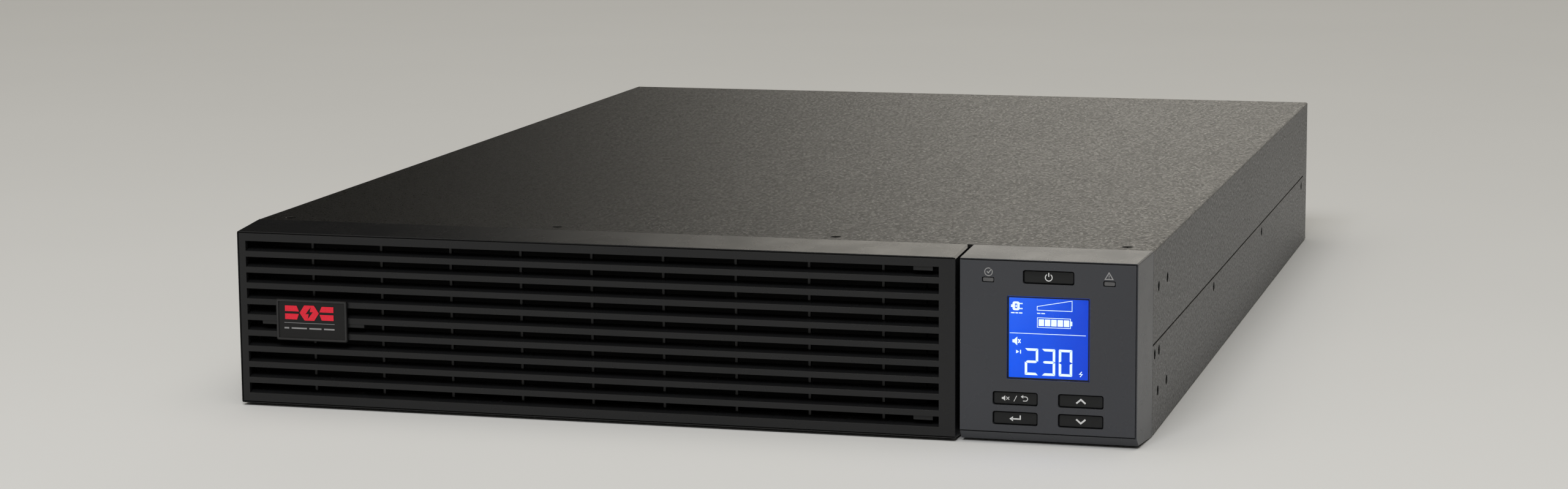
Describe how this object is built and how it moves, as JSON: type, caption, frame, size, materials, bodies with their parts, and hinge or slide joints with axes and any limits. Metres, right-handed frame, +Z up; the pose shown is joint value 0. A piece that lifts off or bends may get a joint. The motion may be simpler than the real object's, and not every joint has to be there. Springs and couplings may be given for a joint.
{
  "type": "uninterruptible power supply",
  "caption": "Rack or tower uninterruptible power supply: flat sheet-metal chassis, louvred front cover, lit display module with keys, and a rear panel of sockets and fans.",
  "frame": {"origin": "middle of the footprint, on the surface the base tray rests on", "axes": "+X to the right as the front is read, -Y to the front, +Z up"},
  "size_m": [0.438, 0.6378, 0.086],
  "materials": {
    "chassis_paint": "fine textured powder coat",
    "zinc_sheet": "zinc-plated sheet",
    "black_screw": "black oxide",
    "zinc_screw": "zinc plated",
    "bezel_plastic": "fine spark-eroded texture",
    "module_plastic": "fine spark-eroded texture",
    "key_plastic": "satin",
    "window_clear": "clear",
    "lamp_lens": "smoked lens",
    "lcd_cell": "lit display",
    "circuit_board": "solder mask",
    "component_black": "moulded",
    "socket_plastic": "moulded thermoplastic",
    "rotor_plastic": "moulded thermoplastic",
    "plated_wire": "nickel-plated wire",
    "plated_pin": "nickel plated",
    "spring_brass": "spring strip",
    "breaker_cap": "moulded",
    "terminal_green": "moulded",
    "battery_case": "moulded case",
    "lead_insulation": "insulated conductor",
    "fin_aluminium": "extruded",
    "capacitor_sleeve": "heat-shrunk sleeve",
    "copper_wire": "enamelled winding wire",
    "dark_sheet": "black dip coat",
    "legend_ink": "printed",
    "badge_red": "printed",
    "lcd_light": "lit display",
    "lcd_segment": "lit display"
  },
  "bodies": {
    "chassis": {"base_tray": "chassis_paint", "battery_bay_wall": "zinc_sheet", "battery_blocks": "battery_case", "battery_connector": "lead_insulation", "battery_door": "dark_sheet", "battery_door_screws": "black_screw", "battery_links": "lead_insulation", "battery_terminals": "spring_brass", "battery_tray": "zinc_sheet", "board_standoffs": "zinc_screw", "breaker_body": "socket_plastic", "bus_capacitors": "capacitor_sleeve", "card_slot_cover": "chassis_paint", "control_board": "circuit_board", "control_chips": "component_black", "cover_screws": "black_screw", "earth_screw": "zinc_screw", "epo_terminal": "terminal_green", "fan_guards": "plated_wire", "fan_housing_left": "socket_plastic", "fan_housing_right": "socket_plastic", "filter_board": "circuit_board", "front_panel": "dark_sheet", "heatsinks": "fin_aluminium", "inductor_cores": "component_black", "inductor_windings": "copper_wire", "inlet_pins": "plated_pin", "inlet_socket": "socket_plastic", "main_board": "circuit_board", "outlet_contacts": "spring_brass", "outlet_socket_large": "socket_plastic", "outlet_sockets": "socket_plastic", "power_transistors": "component_black", "rear_panel": "chassis_paint", "rear_screws": "zinc_screw", "relays": "component_black", "serial_port": "plated_pin", "side_screws": "black_screw", "top_cover": "chassis_paint", "usb_port": "plated_pin"},
    "grille_cover": {"grille_cover": "bezel_plastic", "grille_latches": "bezel_plastic"},
    "badge": {"badge_plate": "bezel_plastic"},
    "display_module": {"display_housing": "module_plastic", "display_back_cover": "module_plastic", "lcd_window": "window_clear", "lcd_panel": "lcd_cell", "display_board": "circuit_board", "key_switches": "component_black", "indicator_lenses": "lamp_lens"},
    "power_button": {"power_button": "key_plastic"},
    "mute_button": {"mute_button": "key_plastic"},
    "enter_button": {"enter_button": "key_plastic"},
    "up_button": {"up_button": "key_plastic"},
    "down_button": {"down_button": "key_plastic"},
    "fan_rotor_left": {"fan_rotor_left": "rotor_plastic"},
    "fan_rotor_right": {"fan_rotor_right": "rotor_plastic"},
    "breaker_button": {"breaker_button": "breaker_cap"}
  },
  "joints": [
    {"name": "grille_cover_pull", "type": "slide", "parent": "chassis", "child": "grille_cover", "axis": [0, -1, 0], "range_m": [0, 0.035]},
    {"name": "display_module_pull", "type": "slide", "parent": "chassis", "child": "display_module", "axis": [0, -1, 0], "range_m": [0, 0.035]},
    {"name": "badge_turn", "type": "hinge", "parent": "grille_cover", "child": "badge", "pos_m": [-0.179, -0.31715, 0.043], "axis": [0, 1, 0], "range_deg": [0, 90]},
    {"name": "power_button_press", "type": "slide", "parent": "display_module", "child": "power_button", "axis": [0, 1, 0], "range_m": [0, 0.0012], "stiffness_N_per_m": 800, "springref_m": -0.0003},
    {"name": "mute_button_press", "type": "slide", "parent": "display_module", "child": "mute_button", "axis": [0, 1, 0], "range_m": [0, 0.0012], "stiffness_N_per_m": 800, "springref_m": -0.0003},
    {"name": "enter_button_press", "type": "slide", "parent": "display_module", "child": "enter_button", "axis": [0, 1, 0], "range_m": [0, 0.0012], "stiffness_N_per_m": 800, "springref_m": -0.0003},
    {"name": "up_button_press", "type": "slide", "parent": "display_module", "child": "up_button", "axis": [0, 1, 0], "range_m": [0, 0.0012], "stiffness_N_per_m": 800, "springref_m": -0.0003},
    {"name": "down_button_press", "type": "slide", "parent": "display_module", "child": "down_button", "axis": [0, 1, 0], "range_m": [0, 0.0012], "stiffness_N_per_m": 800, "springref_m": -0.0003},
    {"name": "fan_left_spin", "type": "hinge", "parent": "chassis", "child": "fan_rotor_left", "pos_m": [-0.096, 0.31165, 0.043], "axis": [0, 1, 0], "continuous": true},
    {"name": "fan_right_spin", "type": "hinge", "parent": "chassis", "child": "fan_rotor_right", "pos_m": [-0.172, 0.31165, 0.043], "axis": [0, 1, 0], "continuous": true},
    {"name": "breaker_trip", "type": "slide", "parent": "chassis", "child": "breaker_button", "axis": [0, 1, 0], "range_m": [0, 0.003]}
  ]
}
